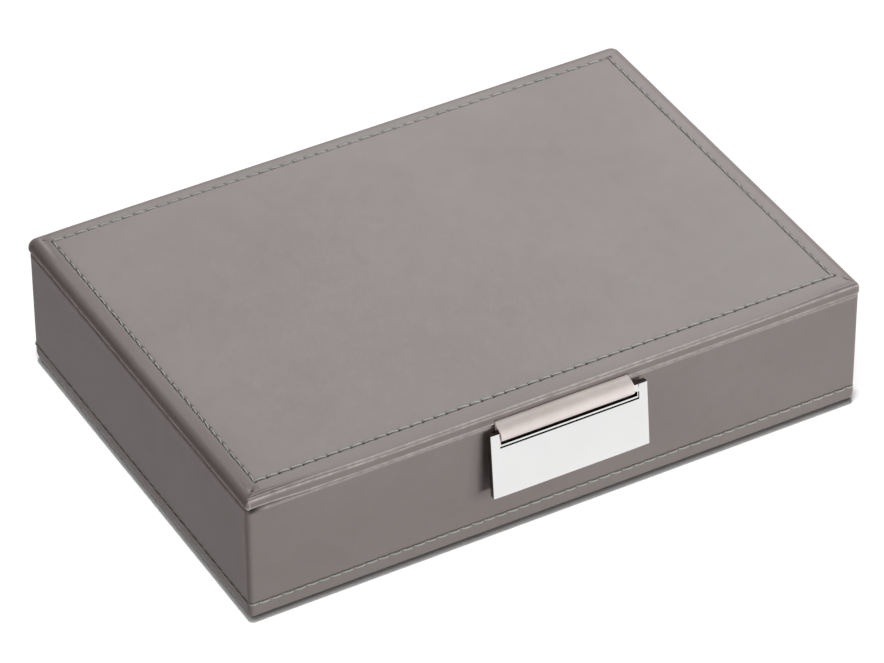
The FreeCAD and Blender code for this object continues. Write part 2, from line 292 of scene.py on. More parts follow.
def felt_material():
    m = Mat("felt")
    matted = m.noise(900, 5, 0.75, distortion=1.2)
    fibre = m.noise(3800, 3, 0.8, (1, 0.35, 1))
    f = m.math("ADD", m.math("MULTIPLY", matted, 0.6), m.math("MULTIPLY", fibre, 0.4))
    col = m.ramp(f, [(0.34, (0.020, 0.019, 0.019)), (0.68, (0.055, 0.052, 0.052))])
    return m.set(color=col, rough=m.remap(matted, 0.3, 0.7, 0.88, 0.98), normal=m.bump(f, 0.0003, 0.9),
                 sheen=0.35, sheen_rough=0.5, spec=0.2)


def nickel_material(name, tint, rough, brushed):
    m = Mat(name)
    fine = m.noise(2200, 3, 0.6, brushed)
    cloud = m.noise(60, 2, 0.5)
    scratch = m.noise(900, 4, 0.8, tuple(v * 3 for v in brushed))
    f = m.math("ADD", m.math("MULTIPLY", cloud, 0.7), m.math("MULTIPLY", fine, 0.3))
    dark = tuple(v * 0.965 for v in tint)
    col = m.ramp(f, [(0.35, dark), (0.65, tint)])
    # painted shade and dark reflection: faces marked by the edge attribute (the plate's side faces, ear tops and,
    # less, the slot lip) are darkened
    col = m.mix(m.attr("edge"), col, tuple(v * k for v, k in zip(tint, (0.155, 0.135, 0.12))))
    r = m.remap(m.math("ADD", m.math("MULTIPLY", fine, 0.6), m.math("MULTIPLY", scratch, 0.4)), 0.3, 0.7, rough * 0.75, rough * 1.3)
    return m.set(color=col, rough=r, metal=1.0, normal=m.bump(scratch, 0.000004, 0.35))


def board_material():
    m = Mat("greyboard")
    pulp = m.noise(800, 5, 0.75, (1, 0.5, 1), 0.5)
    fleck = m.remap(m.voronoi(420), 0.0, 0.16, 0.0, 1.0)
    base = m.ramp(pulp, [(0.3, (0.27, 0.22, 0.16)), (0.7, (0.38, 0.32, 0.24))])
    col = m.mix(fleck, (0.19, 0.15, 0.11), base)
    return m.set(color=col, rough=m.remap(pulp, 0.3, 0.7, 0.82, 0.94), normal=m.bump(pulp, 0.0002, 0.6))


def foam_material():
    m = Mat("foam")
    cell = m.voronoi(1400)
    col = m.ramp(cell, [(0.1, (0.52, 0.50, 0.44)), (0.7, (0.72, 0.70, 0.64))])
    return m.set(color=col, rough=m.remap(cell, 0.0, 0.8, 0.95, 0.85), normal=m.bump(cell, 0.0003, 0.8))


THREAD = thread_material()
VELVET = velvet_material("velvet", (0.115, 0.106, 0.101), (0.185, 0.172, 0.165))
FELT = felt_material()
NICKEL = nickel_material("polished_nickel", (0.755, 0.752, 0.75), 0.085, (0.2, 1, 1))
STEEL = nickel_material("hinge_metal", (0.60, 0.59, 0.575), 0.24, (0.15, 1, 1))
BOARD = board_material()
FOAM = foam_material()

# ------------------------------------------------------- columns round a box


class Columns:
    """Points round a rounded rectangle: straight sides keep their own x or y,
    corners keep their angle. xs and ys rise; corners holds (radius, count)
    for front-right, back-right, back-left and front-left."""

    def __init__(self, front, right, back, left, corners):
        kind, val = [], []

        def put(k, vs):
            kind.extend([k] * len(vs))
            val.extend(vs)

        arcs = [(i + 1, [math.pi / 2 * j / (n - 1) for j in range(n)]) for i, (_, n) in enumerate(corners)]
        put(0, list(front))
        put(5, arcs[0][1])
        put(1, list(right))
        put(6, arcs[1][1])
        put(2, list(back)[::-1])
        put(7, arcs[2][1])
        put(3, list(left)[::-1])
        put(8, arcs[3][1])
        self.kind, self.val = np.array(kind), np.array(val)
        self.n = len(kind)
        self.radii = [c[0] for c in corners]
        # 1 on the front side, fading to 0 round the two front corners
        self.front = np.where(self.kind == 0, 1.0, 0.0)
        for k, up in ((5, False), (8, True)):
            m = self.kind == k
            t = self.val[m] / (math.pi / 2)
            w = smooth(0.05, 0.95, t)
            self.front[m] = w if up else 1 - w
        # the same for the left side
        self.left = np.where(self.kind == 3, 1.0, 0.0)
        for k, up in ((7, True), (8, False)):
            m = self.kind == k
            w = smooth(0.05, 0.95, self.val[m] / (math.pi / 2))
            self.left[m] = w if up else 1 - w
        # and both again for rings well inside the edge, where the corner
        # columns meet in one point: half and half there, fading along the sides
        reach = 12.0
        xl, xr = min(front), max(front)
        yl, yr = min(left), max(left)
        k, v = self.kind, self.val
        near_xl, near_xr = smooth(xl + reach, xl + 2, v), smooth(xr - reach, xr - 2, v)
        near_yl, near_yr = smooth(yl + reach, yl + 2, v), smooth(yr - reach, yr - 2, v)
        self.front_in = np.select([k == 0, (k == 5) | (k == 8), (k == 1) | (k == 3)],
                                  [1 - 0.5 * np.maximum(near_xl, near_xr), 0.5, 0.5 * near_yl], 0.0)
        self.left_in = np.select([k == 3, (k == 7) | (k == 8), (k == 0) | (k == 2)],
                                 [1 - 0.5 * np.maximum(near_yl, near_yr), 0.5, 0.5 * near_xl], 0.0)
        # the left roll passes into the back's over some length, not just in the corner
        m = (k == 2) | (k == 7) | ((k == 3) & (v > 0))
        self.left = np.where(m, self.left_in, self.left)

    def ring(self, hx, hy, inset, z):
        """hx, hy: outer half sizes. inset and z: a number or one per column."""
        d = np.broadcast_to(np.asarray(inset, float), (self.n,))
        z = np.broadcast_to(np.asarray(z, float), (self.n,))
        r = {k: np.maximum(R - d, 0.0) for k, R in zip((5, 6, 7, 8), self.radii)}
        x, y = np.zeros(self.n), np.zeros(self.n)
        ax, ay = hx - d, hy - d
        fr, br, bl, fl = (r[k] for k in (5, 6, 7, 8))
        k, v = self.kind, self.val
        m = k == 0
        x[m], y[m] = np.clip(v[m], -(ax - fl)[m], (ax - fr)[m]), -ay[m]
        m = k == 2
        x[m], y[m] = np.clip(v[m], -(ax - bl)[m], (ax - br)[m]), ay[m]
        m = k == 1
        x[m], y[m] = ax[m], np.clip(v[m], -(ay - fr)[m], (ay - br)[m])
        m = k == 3
        x[m], y[m] = -ax[m], np.clip(v[m], -(ay - fl)[m], (ay - bl)[m])
        for kk, sx, sy, rr, a0 in ((5, 1, -1, fr, -90), (6, 1, 1, br, 0), (7, -1, 1, bl, 90), (8, -1, -1, fl, 180)):
            m = k == kk
            a = math.radians(a0) + v[m]
            x[m] = sx * (ax - rr)[m] + rr[m] * np.cos(a)
            y[m] = sy * (ay - rr)[m] + rr[m] * np.sin(a)
        return np.stack([x, y, z], 1)


def stitch_lines(a, b, count, lo, hi, extra=()):
    """Grid lines along a row with count stitches from a to b, denser at the
    holes, carried on to lo and hi, plus extra lines. Returns lines, holes."""
    pitch = (b - a) / count
    holes = a + pitch * np.arange(count + 1)
    lines = [lo, hi]
    for h in holes:
        lines += [h, h - 0.2, h + 0.2, h - 0.62, h + 0.62, h + pitch / 2]
    lines = sorted(v for v in lines if lo - 1e-9 <= v <= hi + 1e-9)
    fixed = sorted(set(list(extra) + [lo, hi]))
    kept = list(fixed)
    for v in lines:
        if min(abs(v - f) for f in fixed) > 0.09 and (len(kept) == len(fixed) or min(abs(v - f) for f in kept[-3:]) > 0.05):
            kept.append(v)
    return np.array(sorted(set(kept))), holes


def around(c, offs=(0.0, 0.12, 0.25, 0.42, 0.65, 0.95, 1.35)):
    return sorted(set([c + o for o in offs] + [c - o for o in offs]))


def seam_relief(across, along, holes, depth=0.05, width=0.26, hole=0.26, valley=0.025):
    """Height change near a stitch row: a soft valley, the thread's groove and
    the needle holes."""
    i = np.clip(np.searchsorted(holes, along), 1, len(holes) - 1)
    near = np.minimum(np.abs(along - holes[i - 1]), np.abs(along - holes[i]))
    inside = smooth(0.6, 0.0, np.maximum(holes[0] - along, along - holes[-1]))
    g = valley * gauss(across, 1.0) + depth * gauss(across, width)
    g = g + hole * gauss(across, 0.24) * gauss(near, 0.27)
    return -g * inside


def seam_shade(across, along, holes, line, aside):
    """Painted shade near a row: a thin shadow line beside the thread and the needle holes."""
    i = np.clip(np.searchsorted(holes, along), 1, len(holes) - 1)
    near = np.minimum(np.abs(along - holes[i - 1]), np.abs(along - holes[i]))
    inside = smooth(0.5, 0.0, np.maximum(holes[0] - along, along - holes[-1]))
    g = line * gauss(across - aside, 0.17) + 0.9 * gauss(across - 0.5 * aside, 0.22) * gauss(near, 0.26)
    return np.clip(g, 0, 1) * inside


# ---------------------------------------------------------------- lid cover
hinge_edges = [s * v for s in (-1, 1) for v in (39.85, 39.93, 64.07, 64.15)]
tab_edges = [s * v for s in (-1, 1) for v in (19.58, 19.66)]
GX, GY = HW - GRID_IN, HD - GRID_IN
x_lines, x_holes = stitch_lines(-SX, SX + 0.7, 50, -GX, GX,
                                around(-SX, (0.0, 0.12, 0.25, 0.42, 0.65, 0.95)) + around(SX, (0.0, 0.12, 0.25, 0.42, 0.65, 0.95)) + tab_edges + hinge_edges)
y_lines, y_holes = stitch_lines(SY0, SY1, 33, -GY, GY, around(SY0, (0.0, 0.12, 0.25, 0.42, 0.65, 0.95)) + around(SY1, (0.0, 0.12, 0.25, 0.42, 0.65, 0.95)))


def lid_top(x, y):
    """Height of the lid's top inside the edge roll."""
    z = np.full(x.shape, TOP)
    for d, far, k_, p_ in ((HD + y, 6.1, 0.036, 1.35), (HD - y, 5.8, 0.012, 1.35), (HW + x, 5.75, 0.13, 1.08), (HW - x, 5.8, 0.012, 1.35)):
        z = z - k_ * np.clip(far - d, 0, None) ** p_
    z = z + seam_relief(y - SY0, x, x_holes)
    z = z + seam_relief(y - SY1, x, x_holes)
    z = z + seam_relief(x + SX, y, y_holes)
    z = z + seam_relief(x - SX, y, y_holes)
    return z


gx, gy = np.meshgrid(x_lines, y_lines, indexing="ij")
flat = np.stack([gx.ravel(), gy.ravel(), np.zeros(gx.size)], 1)
z = lid_top(gx.ravel(), gy.ravel())
calm = smooth(0, 9, np.minimum(GX - np.abs(flat[:, 0]), GY - np.abs(flat[:, 1])))
z = np.minimum(z + calm * (0.035 * wobble(flat, 46, 3.1) + 0.012 * wobble(flat, 13, 7.7)) - 0.02, TOP)
lid_v = [np.stack([flat[:, 0], flat[:, 1], z], 1)]
wear_and_painted_highlight = [np.zeros(len(z))]
X_, Y_ = flat[:, 0], flat[:, 1]
# Painted shade along the lid's four stitch rows.
shade = np.maximum.reduce([seam_shade(Y_ - SY0, X_, x_holes, 0.62, -0.14), seam_shade(Y_ - SY1, X_, x_holes, 0.3, -0.22),
                           seam_shade(X_ + SX, Y_, y_holes, 0.3, -0.2), seam_shade(X_ - SX, Y_, y_holes, 0.4, -0.2)])
nx, ny = len(x_lines), len(y_lines)
ii, jj = np.meshgrid(np.arange(nx - 1), np.arange(ny - 1), indexing="ij")
a = (ii * ny + jj).ravel()
lid_f = np.stack([a, a + ny, a + ny + 1, a + 1], 1).tolist()

corner_n = 11
edge_x = [86.1, 86.6, 87.0]
left_x = [-85.95, -86.4, -86.9, -87.4, -87.9, -88.3, -88.55, -88.68, -88.8, -88.95]
cols = Columns(sorted(left_x + list(x_lines) + edge_x),
               [-59.5, -59.0, -58.5] + list(y_lines) + [58.5, 59.0, 59.5],
               [-87.0, -86.6, -86.1] + list(x_lines) + edge_x,
               [-61.4, -61.0, -60.4, -59.6, -59.0, -58.5] + list(y_lines) + [58.5, 59.0, 59.5],
               [(1.8, corner_n), (R_V, corner_n), (R_V, corner_n), (0.9, 9)])

# (inset, height, wear and painted highlight) down the edge: a broad roll at the back and right, a tighter one on the
# left, and on the front two hard creases over a flat band. The third value pales the leather along the front creases
# and the lower bead as a painted highlight.
side, left, front = [], [], []
side_top = TOP - 0.03
side += [(4.0, side_top - 0.005, 0), (3.6, side_top - 0.015, 0)]
for t in np.radians(np.linspace(5, 88, 12)):
    side.append((3.35 * (1 - math.sin(t)), side_top - 0.02 - 2.75 * (1 - math.cos(t)), 0))
f_top = lambda d: TOP - 0.036 * (6.1 - d) ** 1.35
l_top = lambda d: TOP - 0.02 - 0.13 * (5.75 - d) ** 1.08
left = [(3.8, l_top(3.8), 0), (3.25, l_top(3.25), 0), (2.85, l_top(2.85), 0)]
for t in np.radians(np.linspace(10, 80, 11)):
    left.append((3.2 * (1 - math.sin(t)), l_top(2.64) - 2.05 * (math.cos(math.radians(10)) - math.cos(t)), 0))
front = [(3.5, f_top(3.5), 0), (2.4, f_top(2.4), 0), (1.5, f_top(1.5) - 0.02, 0), (0.98, 40.05, 0),
         (0.70, 39.97, 0.1), (0.53, 40.04, 0.85), (0.38, 40.00, 1), (0.27, 39.84, .6), (0.22, 39.62, .05), (0.20, 39.45, 0),
         (0.10, 39.34, .6), (0.01, 39.22, 1), (0.0, 39.06, 1), (0.07, 38.88, .4)]
side += [(0.08, 37.62, 0), (0.14, 37.56, 0.1)]
left += [(0.04, 38.16, 0), (0.15, 38.06, 0.1)]
front += [(0.12, 38.4, 0), (0.13, 37.05, 0)]
# The lower bead; its third value paints a highlight along the bead.
for t in np.radians([52, 28, 4, -20, -44, -68, -90]):
    c, u = 0.36 - 0.36 * math.cos(t), math.sin(t)
    w = 0.9 if abs(math.degrees(t) - 16) < 25 else 0.3
    side.append((c, LID_Z + 0.40 + 0.36 * u - (0.02 if t > 0 else 0), w))
    left.append((c - 0.02, 37.72 + 0.34 * u, (1.0 if math.degrees(t) > -10 else 0.5)))
    front.append((c + 0.01, 36.62 + 0.34 * u, w * 0.8))
under = [(1.0, LID_Z, 0), (2.0, LID_Z, 0), (5.0, LID_Z, 0), (8.5, LID_Z, 0), (11.4, LID_Z, 0), (11.85, LID_Z + 0.06, .3),
         (12.0, LID_Z + 0.22, .3), (12.0, LID_Z + 0.5, 0), (11.8, LID_Z + 0.6, 0), (2.0, LID_Z + 0.6, 0), (0.75, LID_Z + 0.6, 0),
         (0.6, LID_Z + 0.75, 0), (0.6, 38.0, 0), (0.74, 38.7, 0), (1.13, 39.27, 0), (1.7, 39.66, 0), (2.4, 39.78, 0)]
side += under
left += under
front += under
w_front, w_left = cols.front, cols.left
first = cols.ring(HW, HD, GRID_IN, 0.0)
first[:, 2] = lid_top(first[:, 0], first[:, 1]) - 0.02
rings, ring_wear_and_highlight = [first], [np.zeros(cols.n)]
# Towards both ends of the front the creases and the lower lip climb a little.
cx_ = np.where(cols.kind == 0, cols.val, np.where(cols.kind == 8, -HW, np.where(cols.kind == 5, HW, 0.0)))
climb = (0.62 * smooth(-46, -84, cx_) + 0.42 * smooth(58, 86, cx_)) * w_front
for (ds, zs, ws), (dl, zl, wl), (df, zf, wf) in zip(side, left, front):
    inner = smooth(1.5, 2.9, df)
    wl_ = w_left + (cols.left_in - w_left) * inner
    wf_ = w_front + (cols.front_in - w_front) * inner
    part = lambda s_, l_, f_: s_ + (l_ - s_) * wl_ + (f_ - s_) * wf_
    up_ = 1.0 if 38.7 < zf < 39.75 else 0.45 if 36.2 < zf < 38.7 else 0.0
    in_ = 0.9 if 39.75 < zf and df < 1.2 else 0.12 if 39.0 < zf < 39.75 else 0.0
    if df > 0.55 and zf < 39:
        up_ = in_ = 0.0
    # The painted highlight on the front creases fades towards the right end.
    fade = 1 - 0.75 * smooth(20, 75, cx_) * (1.0 if zf > 39.75 else 0.0)
    ring_ = cols.ring(HW, HD, part(ds, dl, df + in_ * climb), part(zs, zl, zf + up_ * climb))
    if zf > 39 and inner > 0:
        ring_[:, 2] += inner * (lid_top(ring_[:, 0], ring_[:, 1]) - 0.02 - ring_[:, 2])
    rings.append(ring_)
    ring_wear_and_highlight.append(part(ws, wl, wf * fade))
P = np.concatenate(rings)
W = np.concatenate(ring_wear_and_highlight)
is_front = np.tile(w_front, len(rings))
x, y, zz = P[:, 0].copy(), P[:, 1].copy(), P[:, 2].copy()
outer_n = (1 + len(side) - len(under) + 2) * cols.n
outer = np.arange(len(P)) < outer_n
# The front band's left end is folded back on itself: a narrow proud flap, with a painted highlight along its edge and
# down the corner.
W = np.maximum(W, is_front * outer * 0.95 * (gauss(x + 88.70, 0.09) + gauss(x + 89.9, 0.12)) * (zz < 39.5))
dent = is_front * outer * (zz < 39.5) * smooth(-88.95, -88.72, x) * 0.16
P[:, 1] += np.where(x > -89.2, dent * smooth(38.6, 39.4, -zz + 78.2), 0)
# The lid's lower edge stands up a little at the front-left corner.
lift = 0.52 * smooth(-70, -87, x) * smooth(-60.5, -62.2, y) * smooth(38.4, 37.0, zz) * (np.arange(len(P)) < outer_n + 4 * cols.n)
P[:, 2] += lift
# Soft unevenness of the edges.
uneven = 0.05 * wobble(P, 21, 1.3) + 0.02 * wobble(P, 6, 5.1)
amount = np.where(outer, smooth(40.3, 39.8, zz) * smooth(LID_Z - 0.1, LID_Z + 0.5, zz), 0)
P[:, 2] += uneven * amount
ends = {5: (1, -1), 6: (1, 1), 7: (-1, 1), 8: (-1, -1)}
nrm = np.zeros((cols.n, 2))
for k, v in {0: (0, -1), 1: (1, 0), 2: (0, 1), 3: (-1, 0)}.items():
    nrm[cols.kind == k] = v
for k, a0 in ((5, -90), (6, 0), (7, 90), (8, 180)):
    m_ = cols.kind == k
    ang = math.radians(a0) + cols.val[m_]
    nrm[m_] = np.stack([np.cos(ang), np.sin(ang)], 1)
nr = np.tile(nrm, (len(rings), 1))
inward = np.abs(uneven) * amount * 0.9
P[:, :2] -= nr * inward[:, None]
# Recesses for the hinge leaves and the tab.
leaf = (np.abs(np.abs(P[:, 0]) - 52) < 12.1) & (P[:, 1] > 55.3)
slot_ = (np.abs(P[:, 0]) < 19.62) & (P[:, 1] < -50.4)
P[:, 2] = np.where((leaf | slot_) & (P[:, 2] < LID_Z + 0.63), LID_Z + 0.63, P[:, 2])
P[:, 2] = np.where(leaf & (P[:, 1] > 61.8) & (P[:, 2] < 37.75), 37.75, P[:, 2])
base_i = len(lid_v[0])
for i in range(len(rings) - 1):
    lid_f += ring_faces(base_i + i * cols.n, base_i + (i + 1) * cols.n, cols.n)
last = base_i + (len(rings) - 1) * cols.n
lid_f.append(list(range(last, last + cols.n)))
lid_cover = mesh_object("lid_leather", np.concatenate([lid_v[0], P]), lid_f,
                        {"wear_and_painted_highlight": np.concatenate([wear_and_painted_highlight[0], W]), "shade": np.concatenate([shade, np.zeros(len(P))])}, merge=0.004)
finish_piece(lid_cover, TAUPE, "lid", "taupe_leather", "lid_cover")

# --------------------------------------------------------------- base cover
# Radii of the upright corners, front-right first, then anticlockwise from above.
rc = [1.5, R_V, R_V, 1.5]
lens = [2 * EX - rc[3] - rc[0], math.pi / 2 * rc[0], 2 * EY - rc[0] - rc[1], math.pi / 2 * rc[1],
        2 * EX - rc[1] - rc[2], math.pi / 2 * rc[2], 2 * EY - rc[2] - rc[3], math.pi / 2 * rc[3]]
per = sum(lens)
n_st = 177
pitch_b = per / n_st
offs = sorted([0.0, 0.2, 0.62, pitch_b / 2, pitch_b - 0.62, pitch_b - 0.2])
s_all = np.array(sorted((i * pitch_b + o + 0.9) % per for i in range(n_st) for o in offs))
hole_s = np.array(sorted((i * pitch_b + 0.9) % per for i in range(n_st)))


def on_side(s):
    """Side number 0..7 (front, corner, right, corner, back ...) and the length along it."""
    for i, L in enumerate(lens):
        if s < L or i == 7:
            return i, s
        s -= L


front_c, right_c, back_c, left_c = [], [], [], []
for s in s_all:
    i, v = on_side(s)
    if i == 0:
        front_c.append(v - (EX - rc[3]))
    elif i == 2:
        right_c.append(v - (EY - rc[0]))
    elif i == 4:
        back_c.append((EX - rc[1]) - v)
    elif i == 6:
        left_c.append((EY - rc[2]) - v)
for e in hinge_edges:
    back_c = [v for v in back_c if abs(v - e) > 0.06]
back_c += hinge_edges
for lst, lo_, hi_ in ((front_c, rc[3] - EX, EX - rc[0]), (right_c, rc[0] - EY, EY - rc[1]), (back_c, rc[2] - EX, EX - rc[1]), (left_c, rc[3] - EY, EY - rc[2])):
    lst[:] = sorted([v for v in lst if lo_ + 0.08 < v < hi_ - 0.08] + [lo_, hi_])
bc = Columns(front_c, right_c, back_c, left_c, [(r_, 13) for r_ in rc])
# arc length of each column along the stitch ring, to place the holes
bs = np.zeros(bc.n)
off_ = np.cumsum([0] + lens)
k, v = bc.kind, bc.val
bs[k == 0] = v[k == 0] + (EX - rc[3])
bs[k == 5] = off_[1] + v[k == 5] * rc[0]
bs[k == 1] = off_[2] + v[k == 1] + (EY - rc[0])
bs[k == 6] = off_[3] + v[k == 6] * rc[1]
bs[k == 2] = off_[4] + (EX - rc[1]) - v[k == 2]
bs[k == 7] = off_[5] + v[k == 7] * rc[2]
bs[k == 3] = off_[6] + (EY - rc[2]) - v[k == 3]
bs[k == 8] = off_[7] + v[k == 8] * rc[3]
near = np.min(np.abs(((bs[:, None] - hole_s[None, :]) + per / 2) % per - per / 2), axis=1)

# (inset, height, wear and painted highlight) round the base; the third value paints a highlight on the foot's lower
# rounding, the rim's rounding and the inner rim.
sec = [(11.7, 1.05, 0), (11.6, 0.84, .2), (11.3, 0.8, 0), (7.0, 0.8, 0), (3.6, 0.8, 0)]
for t in np.radians(np.linspace(0, 90, 10)):
    sec.append((R_V - R_V * math.sin(t), 3.8 - 3.0 * math.cos(t), 0.75 * min(1.0, max(0.0, (math.cos(t) - 0.35) / 0.5))))
sec += [(0, SZ + zz_, 0) for zz_ in (-2.0, -1.4, -1.05, -0.75, -0.5, -0.3, -0.15, 0, 0.15, 0.3, 0.5, 0.75, 1.1, 1.7, 2.8)]
sec += [(0, zz_, 0) for zz_ in (10.2, 12.5, 16, 20, 24, 28, 31, 33.4, 34.6, 35.2)]
sec += [(1 - math.cos(t), 35.4 + math.sin(t), w) for t, w in zip(np.radians([10, 30, 50, 70, 90]), (.15, .4, .4, .2, .1))]
sec += [(2.1, 36.42 - 0.02, 0), (3.2, 36.4, 0), (3.65, 36.32, .1), (3.98, 36.1, .3), (4.16, 35.75, .2), (4.2, 35.3, 0), (4.2, 33, 0), (4.2, 28.5, 0), (4.2, 24.25, 0),
        (4.1, 24.02, .2), (3.8, 24.0, 0), (3.62, 24.2, 0), (3.6, 28, 0), (3.6, 35.4, 0), (3.4, 35.8, 0), (0.9, 35.8, 0), (0.6, 35.5, 0), (0.6, 20, 0), (0.6, 4.0, 0)]
for t in np.radians([70, 45, 20, 0]):
    sec.append((3.0 - 2.4 * math.sin(t), 3.8 - 2.4 * math.cos(t), 0))
sec += [(8.0, 1.4, 0), (11.5, 1.4, 0), (11.68, 1.3, 0)]
rb, wb = [], []
for d, z_, w_ in sec:
    rb.append(bc.ring(EX, EY, d, z_))
    wb.append(np.full(bc.n, w_))
PB, WB = np.concatenate(rb), np.concatenate(wb)
n_out = next(i for i, s_ in enumerate(sec) if s_[0] == 2.1)
outer_b = np.arange(len(PB)) < n_out * bc.n
nrb_col = np.zeros((bc.n, 2))
for k_, v_ in {0: (0, -1), 1: (1, 0), 2: (0, 1), 3: (-1, 0)}.items():
    nrb_col[bc.kind == k_] = v_
for k_, a0 in ((5, -90), (6, 0), (7, 90), (8, 180)):
    m_ = bc.kind == k_
    ang = math.radians(a0) + bc.val[m_]
    nrb_col[m_] = np.stack([np.cos(ang), np.sin(ang)], 1)
nrb = np.tile(nrb_col, (len(sec), 1))
nearb = np.tile(near, len(sec))
dz = PB[:, 2] - SZ
relief = 0.03 * gauss(dz, 1.0) + 0.06 * gauss(dz, 0.28) + 0.26 * gauss(dz, 0.24) * gauss(nearb, 0.27)
# Painted shade: a shadow line just above the thread and the needle holes.
SB = 0.62 * gauss(dz - 0.22, 0.17) + 0.9 * gauss(dz - 0.12, 0.22) * gauss(nearb, 0.26)
# painted shade in the gap under the lid's lifted front-left corner
SB += 0.9 * np.tile(bc.front, len(sec)) * smooth(35.2, 35.9, PB[:, 2]) * smooth(-83.5, -88, PB[:, 0])
SB = np.where(outer_b, np.clip(SB, 0, 0.92), 0)
wav = 0.055 * (1 + wobble(PB, 34, 2.2)) * smooth(3, 9, PB[:, 2]) * smooth(36.3, 33.5, PB[:, 2]) + 0.012 * (1 + wobble(PB, 9, 8.2))
inw = np.where(outer_b, relief + wav * smooth(0.8, 3.0, PB[:, 2]), 0)
PB[:, :2] -= nrb * inw[:, None]
leafb = (np.abs(np.abs(PB[:, 0]) - 52) < 12.1) & (PB[:, 1] > 55.3)
PB[:, 2] = np.where(leafb & (PB[:, 2] > RIM_Z - 0.64), RIM_Z - 0.64, PB[:, 2])
fb = []
for i in range(len(sec)):
    fb += ring_faces(i * bc.n, ((i + 1) % len(sec)) * bc.n, bc.n)
base_cover = mesh_object("base_leather", PB, fb, {"wear_and_painted_highlight": WB, "shade": SB}, merge=0.004)
finish_piece(base_cover, TAUPE, "base", "taupe_leather", "base_cover")

# ----------------------------------------------------------------- stitches


def stitch_mesh(name, stitches, body, node, thick=0.15, proud=0.09):
    """Two-ply thread. stitches: (start, end, outward, across) for each one."""
    nu, nv = 15, 7
    u = np.linspace(0, 1, nu)
    hang = np.clip(np.sin(math.pi * u), 0, 1) ** 0.36
    ca, sa = np.cos(np.arange(nv) * 2 * math.pi / nv), np.sin(np.arange(nv) * 2 * math.pi / nv)
    vs, fs, n0 = [], [], 0
    rng = np.random.default_rng(11)
    for p, q, out, across, bulge in stitches:
        p, q, out, across = (np.asarray(t, float) for t in (p, q, out, across))
        along = (q - p) / np.linalg.norm(q - p)
        slant = 0.10 + 0.05 * rng.standard_normal()
        lift_ = 0.02 * rng.standard_normal()
        ph = rng.random() * 6.28
        mid = p + (q - p) * u[:, None] + across * (slant * (u - 0.5) * 2)[:, None] + out * ((hang - 1) * 0.55 + proud + lift_ + bulge * np.sin(math.pi * u))[:, None]
        for ply in (0, math.pi):
            ang = ph + ply + u * 2 * math.pi * 2.1
            r_off = 0.10
            c = mid + across * (r_off * np.cos(ang))[:, None] + out * (r_off * np.sin(ang))[:, None]
            rad = thick * (0.80 + 0.20 * hang)
            ring = c[:, None, :] + rad[:, None, None] * (across[None, None, :] * ca[None, :, None] + out[None, None, :] * sa[None, :, None])
            vs.append(ring.reshape(-1, 3))
            for i in range(nu - 1):
                fs += ring_faces(n0 + i * nv, n0 + (i + 1) * nv, nv)
            fs.append([n0 + j for j in range(nv)][::-1])
            fs.append([n0 + (nu - 1) * nv + j for j in range(nv)])
            n0 += nu * nv
    ob = mesh_object(name, np.concatenate(vs), fs)
    return finish_piece(ob, THREAD, body, "thread", node)


def row(points, out, across):
    return [(points[i], points[i + 1], out, across, 0.0) for i in range(len(points) - 1)]


lid_z = TOP - 0.025 - 0.05 - 0.02
st = []
st += row([(v_, SY0 + 0.26, lid_z) for v_ in x_holes], (0, 0, 1), (0, -1, 0))
st += row([(v_, SY1, lid_z) for v_ in x_holes[:-1]], (0, 0, 1), (0, -1, 0))
st += row([(-SX, v_, lid_z) for v_ in y_holes], (0, 0, 1), (1, 0, 0))
st += row([(SX, v_, lid_z) for v_ in y_holes], (0, 0, 1), (1, 0, 0))
stitch_mesh("lid_stitches", st, "lid", "lid_stitching")


def ring_point(s, inset):
    i, v_ = on_side(s % per)
    if i == 0:
        return np.array([v_ - (EX - rc[3]), -(EY - inset)]), np.array([0.0, -1.0])
    if i == 2:
        return np.array([EX - inset, v_ - (EY - rc[0])]), np.array([1.0, 0.0])
    if i == 4:
        return np.array([(EX - rc[1]) - v_, EY - inset]), np.array([0.0, 1.0])
    if i == 6:
        return np.array([-(EX - inset), (EY - rc[2]) - v_]), np.array([-1.0, 0.0])
    r, sx_, sy_, a0 = {1: (rc[0], 1, -1, -90), 3: (rc[1], 1, 1, 0), 5: (rc[2], -1, 1, 90), 7: (rc[3], -1, -1, 180)}[i]
    a_ = v_ / r + math.radians(a0)
    n_ = np.array([math.cos(a_), math.sin(a_)])
    return np.array([sx_ * (EX - r), sy_ * (EY - r)]) + (r - inset) * n_, n_


st = []
for i, s in enumerate(hole_s):
    p_, na = ring_point(s, 0.1)
    q_, nb = ring_point(s + pitch_b, 0.1)
    c_, nc = ring_point(s + pitch_b / 2, 0.1)
    o_ = (na + nb) / np.linalg.norm(na + nb)
    st.append(((*p_, SZ - 0.14), (*q_, SZ - 0.14), (*o_, 0.0), (0, 0, -1), float((c_ - (p_ + q_) / 2) @ o_)))
stitch_mesh("base_stitches", st, "base", "base_stitching", 0.175, 0.13)

# ----------------------------------------------------------------- pull tab


def path_points(pts, step=0.22):
    """Even points along a polyline."""
    pts = np.array(pts, float)
    seg = np.linalg.norm(np.diff(pts, axis=0), axis=1)
    s = np.concatenate([[0], np.cumsum(seg)])
    n = max(2, int(round(s[-1] / step)))
    t = np.linspace(0, s[-1], n + 1)
    return np.stack([np.interp(t, s, pts[:, i]) for i in range(pts.shape[1])], 1)


def relax(pts, times=3):
    p = np.array(pts, float)
    for _ in range(times):
        p[1:-1] = 0.25 * p[:-2] + 0.5 * p[1:-1] + 0.25 * p[2:]
    return p


